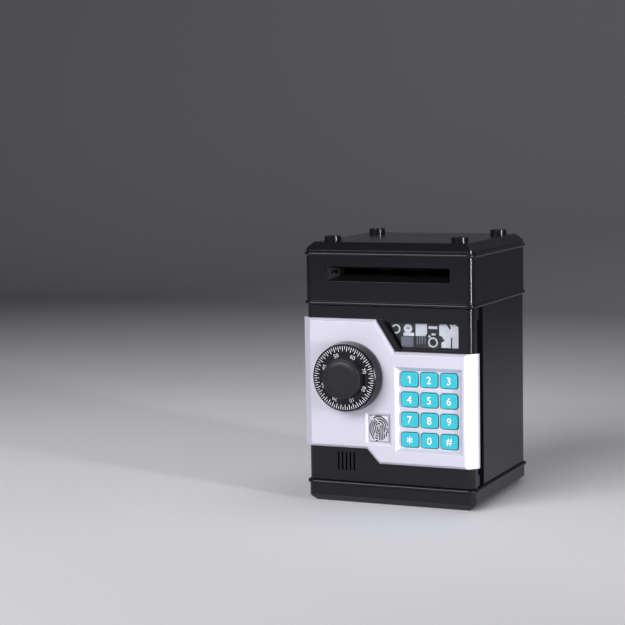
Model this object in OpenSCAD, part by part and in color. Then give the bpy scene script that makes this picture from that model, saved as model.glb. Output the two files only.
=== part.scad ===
// Toy cash machine savings bank: a motorised note slot and a coin slot above a vault with a keypad door.
// Millimetres. +Z up, +X to the right of the person using it, -Y towards them.
// The origin is the centre of the case's footprint, on the surface that it stands on.

/* [Case] */
// Width of the upper case
case_w = 126; // [116:1:150]
// Depth of the upper case
case_d = 118; // [110:1:140]
// Height to the flat top, without the studs
case_h = 186; // [180:1:210]
// Radius of the upright corners
corner_r = 5; // [3:0.5:8]
// Thickness of the moulded walls
wall = 2.2; // [1.6:0.1:3]
// How far the lower case stands in from the upper case
lower_inset = 0.6; // [0.3:0.1:1.2]
// Bevel round the top
top_chamfer = 5.5; // [3:0.5:7]
// Bevel round the foot
foot_chamfer = 5; // [3:0.5:7]
// Radius of the three beads that run round the case
bead_r = 1.4; // [0.8:0.1:2]
// Height of the bead over the base
base_bead_z = 14.2; // [13:0.2:18]
// Height of the bead between vault and head
head_bead_z = 143; // [141:1:150]
// Distance from the flat top down to the top bead
lid_bead_drop = 8.2; // [7:0.2:12]

/* [Top] */
// Diameter of a stud's head
stud_head_d = 12; // [8:0.5:16]
// Height of a stud above the flat top
stud_h = 3.6; // [2:0.2:6]
// Distance of the studs from the case's sides
stud_inset_x = 15; // [12:1:20]
// Distance of the studs from the case's front and back
stud_inset_y = 17; // [14:1:22]
// Length of the coin slot
coin_slot_l = 32; // [28:1:38]
// Width of the coin slot
coin_slot_w = 5; // [4.6:0.1:7]
// Distance of the coin slot behind the middle of the case
coin_slot_y = 24; // [20:1:28]

/* [Note slot and feeder] */
// Width of the note slot
note_slot_w = 93; // [86:1:96]
// Height of the note slot
note_slot_h = 10.6; // [8:0.2:12]
// Height of the note slot's middle
note_slot_z = 163.9; // [162:0.1:166]
// Height of the narrow gap that the notes pass through
note_gap = 5; // [4.6:0.1:7]
// Radius of the rubber feed rollers
feed_roller_r = 7; // [6:0.1:7.4]
// Radius of the pressure rollers
pressure_roller_r = 4.5; // [4:0.1:5.5]
// Width of each roller
roller_w = 8; // [5:1:10]
// Distance between the middles of the two roller pairs
roller_pitch = 28; // [22:1:32]
// Diameter of the feed motor's can
motor_d = 15; // [12:0.5:15]
// Length of the feed motor's can
motor_l = 24; // [16:1:26]

/* [Door] */
// Depth of the door, front to back
door_depth = 9.4; // [9.4:0.2:10.4]
// Gap between the door and the beads above and below it
door_gap = 0.5; // [0.3:0.1:1]
// Widest opening angle of the door
door_open_deg = 105; // [90:5:105]
// Radius of the hinge pins
hinge_pin_r = 1.5; // [1.2:0.1:1.8]
// How far the silver front plate stands in front of the case
plate_proud = 4; // [4:0.2:6]
// How far the silver plate stands out beside the case
plate_wrap = 2.1; // [1.8:0.1:2.6]
// Size of the upright facets at the plate's sides
plate_facet = 7.4; // [5:0.2:9]
// Bevel round the front of the plate
plate_bevel = 1.8; // [1:0.1:2.4]
// Thickness of the plate's wall
plate_t = 1.6; // [1.2:0.1:2]

/* [Dial] */
// Sideways place of the dial's axis
dial_x = -27.3; // [-30:0.1:-26]
// Height of the dial's axis
dial_z = 92.2; // [90:0.1:94]
// Radius of the dial
dial_r = 24.9; // [20:0.1:26]
// Thickness of the dial
dial_t = 11; // [7:0.5:12]
// Radius of the knob on the dial
knob_r = 14.3; // [10:0.1:16]
// Height of the knob in front of the dial
knob_h = 6.5; // [4:0.5:9]
// Turn of the dial from open to locked
dial_turn_deg = 70; // [60:1:70]

/* [Keypad] */
// Width of a key
key_w = 12.4; // [10:0.1:12.8]
// Height of a key
key_h = 10.1; // [8:0.1:10.6]
// Distance between columns of keys
key_pitch_x = 14.6; // [14.4:0.1:15.2]
// Distance between rows of keys
key_pitch_z = 14.2; // [13:0.1:14.6]
// Gap round each key
key_gap = 0.6; // [0.2:0.05:0.6]
// Travel of a key
key_travel = 1.2; // [0.6:0.1:1.2]
// Sideways place of the keypad's middle
keypad_x = 31.3; // [30:0.1:32]
// Height of the keypad's middle
keypad_z = 70.1; // [68:0.1:71]

/* [Fingerprint button] */
// Width of the fingerprint button
print_w = 15.2; // [12:0.1:16]
// Height of the fingerprint button
print_h = 18.2; // [14:0.1:19]
// Sideways place of the fingerprint button
print_x = -6.2; // [-7:0.1:-6]
// Height of the fingerprint button's middle
print_z = 55.5; // [54:0.1:57]

/* [Battery box] */
// Diameter of a battery
cell_d = 14.2; // [13.8:0.1:14.6]
// Length of a battery
cell_l = 50; // [48:0.5:51]

/* [Hidden] */

black = [0.09, 0.09, 0.10];
silver = [0.80, 0.81, 0.86];
teal = [0.27, 0.78, 0.87];
steel = [0.72, 0.73, 0.75];
board_green = [0.10, 0.36, 0.20];

round_fn = 64;
small_fn = 32;
eps = 0.01;
bead_step = 0.02;     // a bead's corners are this much fuller than its straights
fit = 0.3;            // between two mouldings that don't move
run_fit = 0.05;       // round a turning shaft
seat_fit = 0.02;      // round a pin or shaft that is pressed in

// Heights of the joints between the case's mouldings
base_top = base_bead_z + bead_r;
head_bottom = head_bead_z - bead_r;
lid_bead_z = case_h - lid_bead_drop;
head_top = lid_bead_z + bead_r;
floor_t = 2.4;
head_floor_top = head_bottom + floor_t;
cover_under = case_h - floor_t;

// Lower case, which stands in from the upper case
low_w = case_w - 2 * lower_inset;
low_d = case_d - 2 * lower_inset;
low_r = corner_r - lower_inset / 2;
low_front = -low_d / 2;
rear_wall = 2 * wall;

// Door tray and the hinge groove behind its right return
door_z0 = base_top + door_gap;
door_z1 = head_bottom - door_gap;
door_back = low_front + door_depth;
door_wall = 2.2;
ring_front = door_back + 0.6;
ring_t = 2.2;
groove_back = ring_front + 11.9;
groove_depth = 6.6;
groove_x = low_w / 2 - groove_depth;
hinge_x = low_w / 2 - 3.1;
hinge_y = door_back + 3.5;
lug_r = 3;
lug_h = 8;
pin_out = 7;
pin_in = 6;
vault_x0 = -low_w / 2 + 10.4;
vault_x1 = groove_x - 5.8;
vault_z0 = base_top + 10.4;
vault_z1 = head_bottom - 7.6;

// Floor of the vault and its posts
vault_floor_z = base_top + 4;
vault_floor_t = 1.8;
post_r = 4;
post_x = low_w / 2 - 9;
post_y = [groove_back + wall + post_r + 0.8, low_d / 2 - 12];

// Silver front plate
plate_front = -case_d / 2 - plate_proud;
plate_x = low_w / 2 + lower_inset + plate_wrap;
plate_side = 3.6;
plate_back = plate_front + plate_facet + plate_side;
plate_top = 132.5;
plate_step_top = 110.3;
plate_bottom = 30.5;
plate_step_bottom = 40.7;
plate_cut_x = -8.8;
plate_step_x = 5.6;
plate_foot_cut_x = -6.3;
plate_foot_step_x = -15.8;

// Keypad well in the plate
well_depth = 2.6;
well_slope = 2.6;
well_margin_x = 4.1;
well_margin_z = 3.6;
well_w = 2 * key_pitch_x + key_w + 2 * well_margin_x;
well_h = 3 * key_pitch_z + key_h + 2 * well_margin_z;
well_floor_y = plate_front + well_depth;
pan_t = 1.4;
key_proud = 1.2;
key_r = 2;
key_lip = 0.35;
key_lip_t = 1.0;
mat_t = 1.2;
mat_y = well_floor_y + pan_t + key_lip_t + key_travel + 0.2;
key_board_t = 1.6;

// Fingerprint well
print_slope = 1.8;
print_depth = 1.5;
print_gap = 0.4;
print_travel = 0.8;

// Dial
dial_gap = 0.4;
dial_foot_t = 3.4;    // upright foot of the dial, under its slope
dial_face_in = 1.9;   // how far the face's edge stands inside the foot
dial_edge = 0.8;
dial_shell = 3;
dial_cap_t = 1.6;
shaft_seat = 1.2;     // dial material left in front of the shaft
knob_edge = 0.8;
knob_rim = 1.4;
knob_dish = 0.4;

// Window in the door, right of the plate's diagonal edge
window_top = 130.6;
window_bottom = 112.2;
window_right = 52.2;
window_outline = [[-2.6, window_top], [window_right, window_top], [window_right, window_bottom],
    [9.3, window_bottom]];
lens_t = 1.4;
lens_lip = 1.5;
insert_y = low_front + 4.6;
insert_t = 1;
// Lock works in relief on the insert, measured from their own left and low corner
works_left = -1.4;
works_low = 113.6;
relief_high = 0.8;
relief_low = 0.35;
// Rings: x, z, outer and inner radius, angle of the gap (0 is closed)
works_rings = [[6.2, 12.2, 3.3, 2.2, 200], [33.6, 3.5, 3.6, 2.5, 0]];
ring_gap_slope = 1.1;
// Bars that stand high and pads that stand low: x, z, width, height
works_bars = [[11.8, 7.5, 7.8, 2.3], [30.5, 12.9, 6.2, 1.9], [32.6, 8.4, 3, 1.4]];
works_pads = [[9.8, 0, 9.2, 6.9], [29.8, 0, 2, 2.4]];
works_wheel = [15.1, 12.7];
works_wheel_r = 3.1;
wheel_slit = [14.3, 12.4, 2, 1];
works_block = [[20.8, 16.2], [29.2, 16.2], [29.2, 9.2], [27.8, 7.7], [20.8, 7.7]];
works_stud = [31, 7.6];
works_stud_w = 1.5;
comb_at = [21.8, 1.7];
comb_pitch = 1.9;
comb_teeth = 4;
comb_long = 6.2;
comb_r = 0.6;
cluster_x = 38;
cluster_outline = [[0.3, 8.3], [0.4, 10.6], [0.2, 13], [0.6, 16.4], [14.6, 16.4], [14.6, 0], [9.8, 0],
    [9.8, 7.4], [8.8, 7.4], [8.8, 0], [1.8, 0], [1.8, 3.6], [4.4, 4.9], [1.8, 8.3]];
cluster_cuts = [[[5.2, 17], [7.6, 17], [8.9, 13.6], [7.9, 12.8]],
    [[12, 17], [13.4, 14.8], [14.8, 15.4], [14.8, 17]]];

// Door's back cover and its lock box
back_cover_t = 2;
back_cover_y = door_back - back_cover_t;
lock_x0 = -50;
lock_x1 = -9.5;
lock_z0 = 60;
lock_z1 = 112;
lock_back = door_back + 13;
lock_wall = 1.6;

// Lock: pinion on the dial's shaft, rack on the bolt, pin of the solenoid in the disc's notches
lock_module = 0.6;
pinion_teeth = 18;
pinion_r = lock_module * pinion_teeth / 2;
bolt_t = 4;
bolt_y = ring_front + ring_t + 0.6;
bolt_h = 6.2;
bolt_x0 = lock_x0 + 0.8;
bolt_x1 = -14;
pinion_y = bolt_y + 0.1;
pinion_t = bolt_t + 0.2;
disc_r = 9;
disc_t = 2;
disc_y = pinion_y + pinion_t;
notch_w = 3.6;
notch_depth = 3.3;
sol_pin_r = 1.5;
sol_pin_travel = 2.9;
sol_gap = 0.3;
sol_w = 12;
sol_h = 14;
sol_z0 = lock_z0 + lock_wall + 0.6;
sol_y = disc_y + disc_t / 2;
shaft_r = 3;
hub_r = 6;

// Feeder: places of its three axes, in the Y-Z plane, and its layers along X
gear_module = 0.6;
small_teeth = 12;
large_teeth = 32;
gear_distance = gear_module * (small_teeth + large_teeth) / 2;
roller_gap = 0.2;
feed_y = -24;
feed_z = note_slot_z - feed_roller_r - roller_gap / 2;
pressure_z = note_slot_z + pressure_roller_r + roller_gap / 2;
motor_y = -38.5;
motor_z = head_floor_top + motor_d / 2 + 0.7;
cheek_x = 47.5;
cheek_t = 2;
cheek_y0 = -45.4;
cheek_y1 = -12;
cheek_top = 176;
layer_t = 3;
layer_1 = cheek_x + cheek_t / 2 + 0.5;
layer_2 = layer_1 + layer_t + 0.4;
feed_shaft_r = 1.5;
pressure_shaft_r = 1.2;
motor_shaft_r = 1;
guide_t = 1.5;
throat_wall = 3;
throat_back = -46;
backlash = 0.14;
pressure_angle = 25;

// The idler's axis lies one gear distance from both the motor's axis and the feed shaft's
axis_gap = norm([feed_y - motor_y, feed_z - motor_z]);
axis_dir = [(feed_y - motor_y) / axis_gap, (feed_z - motor_z) / axis_gap];
idler_rise = sqrt(gear_distance * gear_distance - axis_gap * axis_gap / 4);
idler_y = (feed_y + motor_y) / 2 - axis_dir[1] * idler_rise;
idler_z = (feed_z + motor_z) / 2 + axis_dir[0] * idler_rise;

// Outlet in the head's floor, and the coin chute above it
outlet_x = 44;
outlet_y0 = -10;
outlet_y1 = 34;
chute_wall = 1.4;
chute_bottom = 150;

// Main board on the head's rear wall
board_t = 1.6;
board_y = case_d / 2 - wall - 5;
board_x = 48;
board_z0 = head_floor_top + 3;
board_z1 = 174;
// Blocks soldered to the board (controller, driver, plug, chips): x, z, width, height, how far they stand out
board_blocks = [[-12, 152, 14, 14, 2], [12, 156, 8, 5, 1.6], [30, 150, 14, 6, 5], [-20, 150, 4, 2, 0.8],
    [-20, 170, 4, 2, 0.8]];
board_cans = [-34, -26];
board_can_z = 158;
board_can_tall = 7;
board_can_r = 3;

// Battery box in the base
bay_y = 28.6;
bay_l = cell_l + 8.4;
bay_w = 3 * cell_d + 3;
bay_wall = 1.6;
bay_roof = vault_floor_z - 0.2;
bay_flange = 4;
cover_t = 2.4;
cover_l = bay_l + 4.4;
cover_w = bay_w + 4.4;
tab_l = 9;
tab_w = 14;
cell_z = cover_t + 0.3 + cell_d / 2;

// Speaker
speaker_r = 11.5;
speaker_t = 4.4;
speaker_x = -33;
speaker_z = door_z0 + door_wall + speaker_r + 0.4;
grille_slots = 5;
grille_pitch = 3;
grille_w = 1.3;
grille_h = 13.6;

// Rear panel
panel_w = 100;
panel_z0 = base_top + 4.6;
panel_z1 = head_bottom - 4.6;
// Grooves in the rear panel and finger grooves in the battery cover
louvre_l = 60;
louvre_w = 1.2;
louvre_pitch = 6;
louvre_deep = 0.7;
louvre_z = (panel_z0 + panel_z1) / 2;
grip_l = 28;
grip_w = 1.6;
grip_pitch = 5;
grip_deep = 0.7;
panel_r = 4;
panel_lap = 4;

screw_r = 1.3;
screw_head_r = 2.6;
screw_head_t = 1.6;

// ---- shapes used by several pieces ----

module rounded_rect(w, d, r) {
    square([w - 2 * r, d], center = true);
    square([w, d - 2 * r], center = true);
    for (sx = [-1, 1], sy = [-1, 1])
        translate([sx * (w / 2 - r), sy * (d / 2 - r)]) circle(r, $fn = round_fn);
}

// Upright outline with a bevel at its top and foot
function bevelled_side(w, z0, z1, top, foot) = [[-w / 2 + foot, z0], [w / 2 - foot, z0], [w / 2, z0 + foot],
    [w / 2, z1 - top], [w / 2 - top, z1], [-w / 2 + top, z1], [-w / 2, z1 - top], [-w / 2, z0 + foot]];

// Block with rounded upright corners and mitred bevels
module bevelled_block(w, d, r, z0, z1, top, foot) {
    intersection() {
        translate([0, 0, z0]) linear_extrude(z1 - z0) rounded_rect(w, d, r);
        rotate([90, 0, 0]) linear_extrude(d + 2, center = true) polygon(bevelled_side(w, z0, z1, top, foot));
        rotate([90, 0, 90]) linear_extrude(w + 2, center = true) polygon(bevelled_side(d, z0, z1, top, foot));
    }
}

// Half-round bead that runs round a rounded rectangle
module bead(w, d, r, z) {
    for (s = [-1, 1]) {
        translate([0, s * d / 2, z]) rotate([0, 90, 0])
            cylinder(h = w - 2 * r, r = bead_r, center = true, $fn = small_fn);
        translate([s * w / 2, 0, z]) rotate([90, 0, 0])
            cylinder(h = d - 2 * r, r = bead_r, center = true, $fn = small_fn);
    }
    for (q = [0 : 3]) {
        sx = (q == 0 || q == 3) ? 1 : -1;
        sy = q < 2 ? 1 : -1;
        translate([sx * (w / 2 - r), sy * (d / 2 - r), z]) rotate([0, 0, 90 * q])
            rotate_extrude(angle = 90, $fn = round_fn) translate([r, 0])
                circle(bead_r + bead_step, $fn = small_fn);
    }
}

// Cylinder along +Y from y0 to y1
module rod_y(x, z, y0, y1, r, fn = round_fn) {
    translate([x, y0, z]) rotate([-90, 0, 0]) cylinder(h = y1 - y0, r = r, $fn = fn);
}

// Cylinder along +X from x0 to x1
module rod_x(y, z, x0, x1, r, fn = round_fn) {
    translate([x0, y, z]) rotate([0, 90, 0]) cylinder(h = x1 - x0, r = r, $fn = fn);
}

// Box between two corners
module box(a, b) {
    translate(a) cube(b - a);
}

// Outline in X-Z, extruded from y0 to y1
module slab_y(y0, y1) {
    translate([0, y1, 0]) rotate([90, 0, 0]) linear_extrude(y1 - y0) children();
}

// Outline in Y-Z, extruded from x0 to x1
module slab_x(x0, x1) {
    translate([x0, 0, 0]) rotate([90, 0, 90]) linear_extrude(x1 - x0) children();
}

// Rounded rectangle in X-Z, extruded from y0 to y1
module pad_y(x, z, w, h, r, y0, y1) {
    slab_y(y0, y1) translate([x, z]) rounded_rect(w, h, r);
}

// Rectangular well with sloping sides, widest at y0
module sloping_well(x, z, w, h, slope, y0, y1) {
    hull() {
        translate([x, y0, z]) cube([w, eps, h], center = true);
        translate([x, y1, z]) cube([w - 2 * slope, eps, h - 2 * slope], center = true);
    }
}

// Involute of a circle: the angle in degrees that the flank has turned at radius r
function flank_turn(r, base) = r <= base ? 0
    : sqrt(r * r / (base * base) - 1) * 180 / PI - acos(base / r);

// Points of one gear tooth centred on the angle a
function tooth(n, m, a, add) = let (
    pitch = m * n / 2,
    base = pitch * cos(pressure_angle),
    root = pitch - 1.25 * m,
    tip = pitch + add * m,
    half = (90 / n) - backlash / 2 / pitch * 180 / PI + flank_turn(pitch, base),
    radii = [root, max(root, base) + eps, pitch, (pitch + tip) / 2, tip],
    left = [for (r = radii) let (t = a - half + flank_turn(r, base)) [r * cos(t), r * sin(t)]],
    right = [for (i = [len(radii) - 1 : -1 : 0]) let (r = radii[i], t = a + half - flank_turn(r, base))
        [r * cos(t), r * sin(t)]]
) concat(left, right);

// Gear outline: n teeth, the first one centred on the angle phase
module gear_outline(n, m, phase, add = 1) {
    polygon([for (k = [0 : n - 1]) each tooth(n, m, phase + 360 / n * k, add)]);
}

function direction(from, to) = atan2(to[1] - from[1], to[0] - from[0]);

module screw_y(x, z, y, length) {
    rod_y(x, z, y, y + screw_head_t, screw_head_r, small_fn);
    rod_y(x, z, y - length, y + eps, screw_r, small_fn);
}

// ---- case ----

module base_tray() color(black) {
    difference() {
        union() {
            difference() {
                union() {
                    bevelled_block(case_w, case_d, corner_r, 0, base_top, 0, foot_chamfer);
                    bead(case_w, case_d, corner_r, base_bead_z);
                }
                bevelled_block(case_w - 2 * wall, case_d - 2 * wall, corner_r - wall / 2,
                    cover_t, base_top + 1, 0, foot_chamfer - 1);
            }
            intersection() {
                bevelled_block(case_w, case_d, corner_r, 0, vault_floor_z, 0, foot_chamfer);
                union() {
                    battery_box();
                    for (sx = [-1, 1], y = post_y)
                        translate([sx * post_x, y, cover_t - eps])
                            cylinder(h = vault_floor_z - cover_t + eps, r = post_r, $fn = small_fn);
                    translate([hinge_x, hinge_y, cover_t - eps])
                        cylinder(h = base_top - cover_t + eps, r = lug_r + 1, $fn = small_fn);
                }
            }
        }
        box([-cover_l / 2 - fit / 2, bay_y - cover_w / 2 - fit / 2, -1],
            [cover_l / 2 + fit / 2, bay_y + cover_w / 2 + fit / 2, cover_t]);
        box([cover_l / 2 - 1, bay_y - tab_w / 2 - fit / 2, -1],
            [cover_l / 2 + tab_l + fit / 2, bay_y + tab_w / 2 + fit / 2, cover_t]);
        box([-bay_l / 2, bay_y - bay_w / 2, -1], [bay_l / 2, bay_y + bay_w / 2, bay_roof - bay_wall]);
        for (sx = [-1, 1], y = post_y)
            translate([sx * post_x, y, vault_floor_z - 8])
                cylinder(h = 9, r = screw_r + seat_fit, $fn = small_fn);
        translate([hinge_x, hinge_y, base_top - pin_in])
            cylinder(h = pin_in + 1, r = hinge_pin_r + seat_fit, $fn = small_fn);
        translate([cover_l / 2 + tab_l / 2, bay_y, cover_t - 1])
            cylinder(h = 7, r = screw_r + seat_fit, $fn = small_fn);
    }
}

module battery_box() {
    flange_l = cover_l + 2 * bay_flange;
    flange_w = cover_w + 2 * bay_flange;
    box([-flange_l / 2, bay_y - flange_w / 2, cover_t - eps],
        [flange_l / 2, bay_y + flange_w / 2, cover_t + bay_wall]);
    box([-bay_l / 2 - bay_wall, bay_y - bay_w / 2 - bay_wall, cover_t],
        [bay_l / 2 + bay_wall, bay_y + bay_w / 2 + bay_wall, bay_roof]);
    translate([cover_l / 2 + tab_l / 2, bay_y, cover_t - eps])
        cylinder(h = 6, r = post_r + 1, $fn = small_fn);
}

module battery_cover() color(black) {
    difference() {
        union() {
            box([-cover_l / 2, bay_y - cover_w / 2, 0], [cover_l / 2, bay_y + cover_w / 2, cover_t - 0.1]);
            box([cover_l / 2 - 1, bay_y - tab_w / 2, 0],
                [cover_l / 2 + tab_l, bay_y + tab_w / 2, cover_t - 0.1]);
        }
        for (k = [-2 : 2])
            box([k * grip_pitch - grip_w / 2, bay_y - grip_l / 2, -1],
                [k * grip_pitch + grip_w / 2, bay_y + grip_l / 2, grip_deep]);
        translate([cover_l / 2 + tab_l / 2, bay_y, -1])
            cylinder(h = cover_t + 2, r = screw_r + 0.2, $fn = small_fn);
        translate([cover_l / 2 + tab_l / 2, bay_y, -1])
            cylinder(h = 1.6, r = screw_head_r + 0.2, $fn = small_fn);
    }
}

module batteries() {
    for (k = [-1 : 1]) {
        s = k == 0 ? -1 : 1;
        y = bay_y + k * (cell_d + 0.6);
        color("darkgoldenrod") rod_x(y, cell_z, -cell_l / 2, cell_l / 2, cell_d / 2);
        color(steel) rod_x(y, cell_z, min(s * cell_l / 2, s * (cell_l / 2 + 1.4)) - eps,
            max(s * cell_l / 2, s * (cell_l / 2 + 1.4)) + eps, 2.6);
    }
}

module battery_contacts() color(steel) {
    for (sx = [-1, 1], k = [-1 : 1]) {
        y = bay_y + k * (cell_d + 0.6);
        x = sx * (bay_l / 2 - 0.35);
        translate([x, y, cell_z]) cube([0.5, cell_d - 3, cell_d - 3], center = true);
        spring_side = (k == 0 ? 1 : -1) == sx;
        if (spring_side)
            for (turn = [0 : 2])
                translate([sx * (bay_l / 2 - 0.9 - turn * 1.05), y, cell_z]) rotate([0, 90, 0])
                    difference() {
                        cylinder(h = 0.5, r = 4.6 - turn * 0.6, center = true, $fn = small_fn);
                        cylinder(h = 1, r = 3.9 - turn * 0.6, center = true, $fn = small_fn);
                    }
    }
}

// Plan of the vault's walls: the sides, and the step that leaves the hinge groove free
module vault_plan(inset) {
    difference() {
        rounded_rect(low_w - 2 * inset, low_d - 2 * inset, low_r - inset / 2);
        translate([-case_w, -case_d]) square([2 * case_w, case_d + ring_front + (inset > 0 ? ring_t : 0)]);
        translate([groove_x - inset, -case_d]) square([case_w, case_d + groove_back + inset]);
    }
}

module vault_housing() color(black) {
    difference() {
        translate([0, 0, base_top]) linear_extrude(head_bottom - base_top) vault_plan(0);
        translate([0, 0, base_top - 1]) linear_extrude(head_bottom - base_top + 2) intersection() {
            vault_plan(wall);
            translate([-case_w, -case_d]) square([2 * case_w, case_d + low_d / 2 - rear_wall]);
        }
        box([vault_x0, ring_front - 1, vault_z0], [vault_x1, ring_front + ring_t + 1, vault_z1]);
        pad_y(0, (panel_z0 + panel_z1) / 2, panel_w + fit, panel_z1 - panel_z0 + fit, panel_r,
            low_d / 2 - wall, low_d / 2 + 1);
        pad_y(0, (panel_z0 + panel_z1) / 2, panel_w - 4 * panel_lap, panel_z1 - panel_z0 - 2 * panel_lap - 6,
            panel_r, low_d / 2 - rear_wall - 1, low_d / 2 + 1);
        for (p = panel_screws())
            rod_y(p[0], p[1], low_d / 2 - rear_wall - 1, low_d / 2, screw_r + seat_fit, small_fn);
    }
}

function panel_screws() = [for (sx = [-1, 1], z = [panel_z0 + 3.6, panel_z1 - 3.6])
    [sx * (panel_w / 2 - 4), z]];

module rear_panel() color(black) {
    difference() {
        pad_y(0, (panel_z0 + panel_z1) / 2, panel_w, panel_z1 - panel_z0, panel_r,
            low_d / 2 - wall + 0.05, low_d / 2);
        for (k = [-3 : 3])
            box([-louvre_l / 2, low_d / 2 - louvre_deep, louvre_z + k * louvre_pitch - louvre_w / 2],
                [louvre_l / 2, low_d / 2 + 1, louvre_z + k * louvre_pitch + louvre_w / 2]);
        for (p = panel_screws()) {
            rod_y(p[0], p[1], low_d / 2 - wall - 1, low_d / 2 + 1, screw_r + 0.2, small_fn);
            rod_y(p[0], p[1], low_d / 2 - screw_head_t - 0.1, low_d / 2 + 1, screw_head_r + 0.2, small_fn);
        }
    }
}

module rear_screws() color(steel) {
    for (p = panel_screws())
        cross_head(p) screw_y(p[0], p[1], low_d / 2 - screw_head_t - 0.1, wall + 1.5);
}

// Cuts a cross recess into a screw whose head faces +Y
module cross_head(p) {
    difference() {
        children();
        for (a = [0, 90])
            translate([p[0], low_d / 2, p[1]]) rotate([0, a, 0]) cube([3, 1.6, 0.7], center = true);
    }
}

module vault_floor() color([0.16, 0.16, 0.17]) {
    difference() {
        translate([0, 0, vault_floor_z]) linear_extrude(vault_floor_t) difference() {
            rounded_rect(low_w - 2 * wall - fit, low_d - 2 * wall - fit, low_r - wall / 2);
            translate([-case_w, -case_d]) square([2 * case_w, case_d + ring_front + ring_t + fit]);
            translate([groove_x - wall - fit, -case_d]) square([case_w, case_d + groove_back + wall + fit]);
            translate([-case_w, low_d / 2 - rear_wall - fit]) square([2 * case_w, case_d]);
        }
        for (sx = [-1, 1], y = post_y)
            translate([sx * post_x, y, vault_floor_z - 1])
                cylinder(h = vault_floor_t + 2, r = screw_r + 0.2, $fn = small_fn);
    }
}

module hinge_pins() color(steel) {
    translate([hinge_x, hinge_y, base_top - pin_in + 0.1])
        cylinder(h = pin_in + pin_out, r = hinge_pin_r, $fn = small_fn);
    translate([hinge_x, hinge_y, head_bottom - pin_out])
        cylinder(h = pin_out + pin_in - 0.1, r = hinge_pin_r, $fn = small_fn);
}

module case_screws() color(steel) {
    for (sx = [-1, 1], y = post_y) translate([sx * post_x, y, vault_floor_z + vault_floor_t]) {
        difference() {
            cylinder(h = screw_head_t, r = screw_head_r, $fn = small_fn);
            translate([0, 0, screw_head_t]) cube([3, 0.7, 1.6], center = true);
            translate([0, 0, screw_head_t]) cube([0.7, 3, 1.6], center = true);
        }
        translate([0, 0, -7]) cylinder(h = 7 + eps, r = screw_r, $fn = small_fn);
    }
    translate([cover_l / 2 + tab_l / 2, bay_y, 0.1]) {
        difference() {
            cylinder(h = 0.5, r = screw_head_r, $fn = small_fn);
            cube([3, 0.7, 0.5], center = true);
            cube([0.7, 3, 0.5], center = true);
        }
        cylinder(h = 7, r = screw_r, $fn = small_fn);
    }
}

// ---- head ----

module head_housing() color(black) {
    difference() {
        union() {
            translate([0, 0, head_bottom]) linear_extrude(head_top - head_bottom)
                rounded_rect(case_w, case_d, corner_r);
            bead(case_w, case_d, corner_r, head_bead_z);
            bead(case_w, case_d, corner_r, lid_bead_z);
        }
        difference() {
            translate([0, 0, head_floor_top]) linear_extrude(head_top - head_floor_top + 1)
                rounded_rect(case_w - 2 * wall, case_d - 2 * wall, corner_r - wall / 2);
            translate([hinge_x, hinge_y, head_bottom])
                cylinder(h = pin_in + 2, r = lug_r + 1, $fn = small_fn);
        }
        translate([hinge_x, hinge_y, head_bottom - 1])
            cylinder(h = pin_in + 1, r = hinge_pin_r + seat_fit, $fn = small_fn);
        box([-note_slot_w / 2, -case_d / 2 - 1, note_slot_z - note_slot_h / 2],
            [note_slot_w / 2, -case_d / 2 + wall + 1, note_slot_z + note_slot_h / 2]);
        box([-outlet_x, outlet_y0, head_bottom - 1], [outlet_x, outlet_y1, head_floor_top + 1]);
    }
}

module top_cover() color(black) {
    difference() {
        bevelled_block(case_w, case_d, corner_r, head_top, case_h, top_chamfer, 0);
        bevelled_block(case_w - 2 * wall, case_d - 2 * wall, corner_r - wall / 2,
            head_top - 1, cover_under, top_chamfer - floor_t + 1, 0);
        for (p = stud_places())
            translate([p[0], p[1], cover_under - 1])
                cylinder(h = floor_t + 2, r = stud_head_d / 4 + seat_fit, $fn = small_fn);
        box([-coin_slot_l / 2, coin_slot_y - coin_slot_w / 2, cover_under - 1],
            [coin_slot_l / 2, coin_slot_y + coin_slot_w / 2, case_h + 1]);
    }
}

function stud_places() = [for (sx = [-1, 1], sy = [-1, 1])
    [sx * (case_w / 2 - stud_inset_x), sy * (case_d / 2 - stud_inset_y)]];

module top_studs() color(black) {
    for (p = stud_places()) translate([p[0], p[1], 0]) {
        translate([0, 0, case_h]) difference() {
            cylinder(h = stud_h, d = stud_head_d, $fn = round_fn);
            translate([0, 0, stud_h - 0.4]) cylinder(h = 1, d = stud_head_d - 3, $fn = round_fn);
        }
        translate([0, 0, cover_under - 2.5])
            cylinder(h = floor_t + 2.5 + eps, r = stud_head_d / 4, $fn = small_fn);
    }
}

module note_throat() color([0.05, 0.05, 0.055]) {
    y0 = -case_d / 2 + wall + 0.05;
    difference() {
        box([-note_slot_w / 2 - throat_wall, y0, note_slot_z - note_slot_h / 2 - throat_wall],
            [note_slot_w / 2 + throat_wall, throat_back, note_slot_z + note_slot_h / 2 + throat_wall]);
        hull() {
            translate([0, y0 - eps, note_slot_z]) cube([note_slot_w, eps, note_slot_h], center = true);
            box([sensor_x + sensor_r + sensor_wall, throat_back + eps, note_slot_z - note_gap / 2],
                [note_slot_w / 2 - throat_taper, throat_back + 2 * eps, note_slot_z + note_gap / 2]);
        }
        rod_y(sensor_x, sensor_z, y0, throat_back + 1, sensor_r + seat_fit, small_fn);
    }
}

sensor_r = 1.4;
sensor_wall = 0.6;
throat_taper = 2;
sensor_x = -note_slot_w / 2 + 3.2;
sensor_z = note_slot_z + 0.5;

module note_sensor() color([0.85, 0.9, 1]) {
    rod_y(sensor_x, sensor_z, throat_back - 5, throat_back + 3, sensor_r, small_fn);
    translate([sensor_x, throat_back - 5, sensor_z]) sphere(sensor_r, $fn = small_fn);
}

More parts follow.
